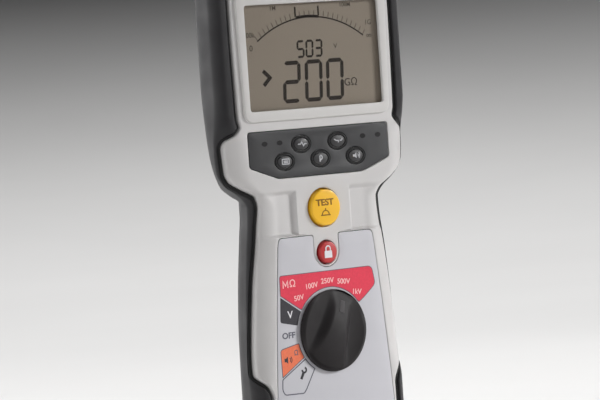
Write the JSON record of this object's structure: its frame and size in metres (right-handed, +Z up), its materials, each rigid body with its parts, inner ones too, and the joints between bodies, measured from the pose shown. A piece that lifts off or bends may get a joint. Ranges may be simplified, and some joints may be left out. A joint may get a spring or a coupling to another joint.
{
  "type": "insulation resistance tester",
  "caption": "Hand-held tester in a waisted rubber-edged case, with a display, soft keys, press-to-test button, lock button, range knob and top sockets.",
  "frame": {"origin": "centre of the overall box on the plane of the bottom end, on which the tester stands", "axes": "+Z up along the case from the bottom end to the socket end, -Y out of the face with the display, +X to the right seen from the front"},
  "size_m": [0.1052, 0.052, 0.228],
  "materials": {
    "pale_shell": "fine-grained pale warm grey moulded ABS",
    "rubber": "soft charcoal overmoulded elastomer with a fine eggshell grain",
    "black_rubber": "black elastomer",
    "dark_shell": "textured charcoal moulded ABS",
    "steel": "zinc plated steel",
    "cell_jacket": "printed shrink sleeve",
    "clear_window": "clear polycarbonate",
    "display_glass": "grey-brown passive liquid crystal display",
    "diffuser": "milky acrylic light guide",
    "fascia": "charcoal printed polyester film",
    "key_rubber": "mid grey silicone key caps",
    "yellow_button": "satin yellow moulded button",
    "red_button": "satin red moulded button",
    "label_film": "cool pale grey printed polyester film",
    "knob_plastic": "black glass-filled nylon",
    "white_plastic": "natural acetal",
    "black_plastic": "black moulded plastic",
    "red_plastic": "red moulded nylon",
    "circuit_board": "green solder mask on glass-epoxy",
    "ferrite": "dark grey sintered ferrite",
    "ceramic": "white ceramic fuse body with plated caps",
    "brass": "nickel-free turned brass"
  },
  "bodies": {
    "root": {"front_case": "pale_shell", "overmould": "rubber", "case_seal": "black_rubber", "rear_case": "dark_shell", "case_screw_1": "steel", "case_screw_2": "steel", "case_screw_3": "steel", "case_screw_4": "steel", "battery_cover_seal": "black_rubber", "cell_1": "cell_jacket", "cell_2": "cell_jacket", "cell_3": "cell_jacket", "cell_4": "cell_jacket", "cell_5": "cell_jacket", "battery_contact_lower": "steel", "battery_contact_upper": "steel", "stand_hinge_rod": "steel", "display_bezel": "pale_shell", "display_window": "clear_window", "display_panel": "display_glass", "display_backlight": "diffuser", "keypad_fascia": "fascia", "keypad_mat": "black_rubber", "test_spring": "steel", "test_switch": "black_plastic", "lock_spring": "steel", "lock_switch": "black_plastic", "control_label": "label_film", "knob_seal": "black_rubber", "switch_housing": "black_plastic", "detent_spring": "steel", "main_board": "circuit_board", "transformer": "ferrite", "capacitor": "black_plastic", "buzzer": "black_plastic", "fuse": "ceramic", "fuse_clip_lower": "steel", "fuse_clip_upper": "steel", "terminal_panel": "dark_shell", "socket_black": "black_plastic", "socket_red": "red_plastic", "contact_black": "brass", "contact_red": "brass", "probe_jack": "black_plastic"},
    "knob": {"range_knob": "knob_plastic", "knob_pointer": "pale_shell", "knob_shaft": "steel", "switch_rotor": "white_plastic"},
    "test_press": {"test_button": "yellow_button"},
    "lock_press": {"lock_button": "red_button"},
    "key_upper_left_press": {"key_upper_left": "key_rubber"},
    "key_upper_right_press": {"key_upper_right": "key_rubber"},
    "key_lower_left_press": {"key_lower_left": "key_rubber"},
    "key_lower_centre_press": {"key_lower_centre": "key_rubber"},
    "key_lower_right_press": {"key_lower_right": "key_rubber"},
    "stand": {"tilt_stand": "dark_shell"},
    "cover": {"battery_cover": "dark_shell", "battery_cover_screw": "steel"}
  },
  "joints": [
    {"name": "range_turn", "type": "hinge", "parent": "root", "child": "knob", "pos_m": [0, -0.029, 0.0541], "axis": [0, -1, 0], "range_deg": [-22.5, 157.5]},
    {"name": "test_travel", "type": "slide", "parent": "root", "child": "test_press", "axis": [0, 1, 0], "range_m": [0, 0.0009], "stiffness_N_per_m": 1500, "springref_m": -0.0008, "deforming": ["test_spring"]},
    {"name": "lock_travel", "type": "slide", "parent": "root", "child": "lock_press", "axis": [0, 1, 0], "range_m": [0, 0.0009], "stiffness_N_per_m": 1200, "springref_m": -0.0008, "deforming": ["lock_spring"]},
    {"name": "key_upper_left_travel", "type": "slide", "parent": "root", "child": "key_upper_left_press", "axis": [0, 1, 0], "range_m": [0, 0.001], "stiffness_N_per_m": 800, "springref_m": -0.0008},
    {"name": "key_upper_right_travel", "type": "slide", "parent": "root", "child": "key_upper_right_press", "axis": [0, 1, 0], "range_m": [0, 0.001], "stiffness_N_per_m": 800, "springref_m": -0.0008},
    {"name": "key_lower_left_travel", "type": "slide", "parent": "root", "child": "key_lower_left_press", "axis": [0, 1, 0], "range_m": [0, 0.001], "stiffness_N_per_m": 800, "springref_m": -0.0008},
    {"name": "key_lower_centre_travel", "type": "slide", "parent": "root", "child": "key_lower_centre_press", "axis": [0, 1, 0], "range_m": [0, 0.001], "stiffness_N_per_m": 800, "springref_m": -0.0008},
    {"name": "key_lower_right_travel", "type": "slide", "parent": "root", "child": "key_lower_right_press", "axis": [0, 1, 0], "range_m": [0, 0.001], "stiffness_N_per_m": 800, "springref_m": -0.0008},
    {"name": "stand_hinge", "type": "hinge", "parent": "root", "child": "stand", "pos_m": [0, 0.0239, 0.198], "axis": [1, 0, 0], "range_deg": [0, 70]},
    {"name": "cover_lift", "type": "slide", "parent": "root", "child": "cover", "axis": [0, 1, 0], "range_m": [0, 0.04]}
  ]
}
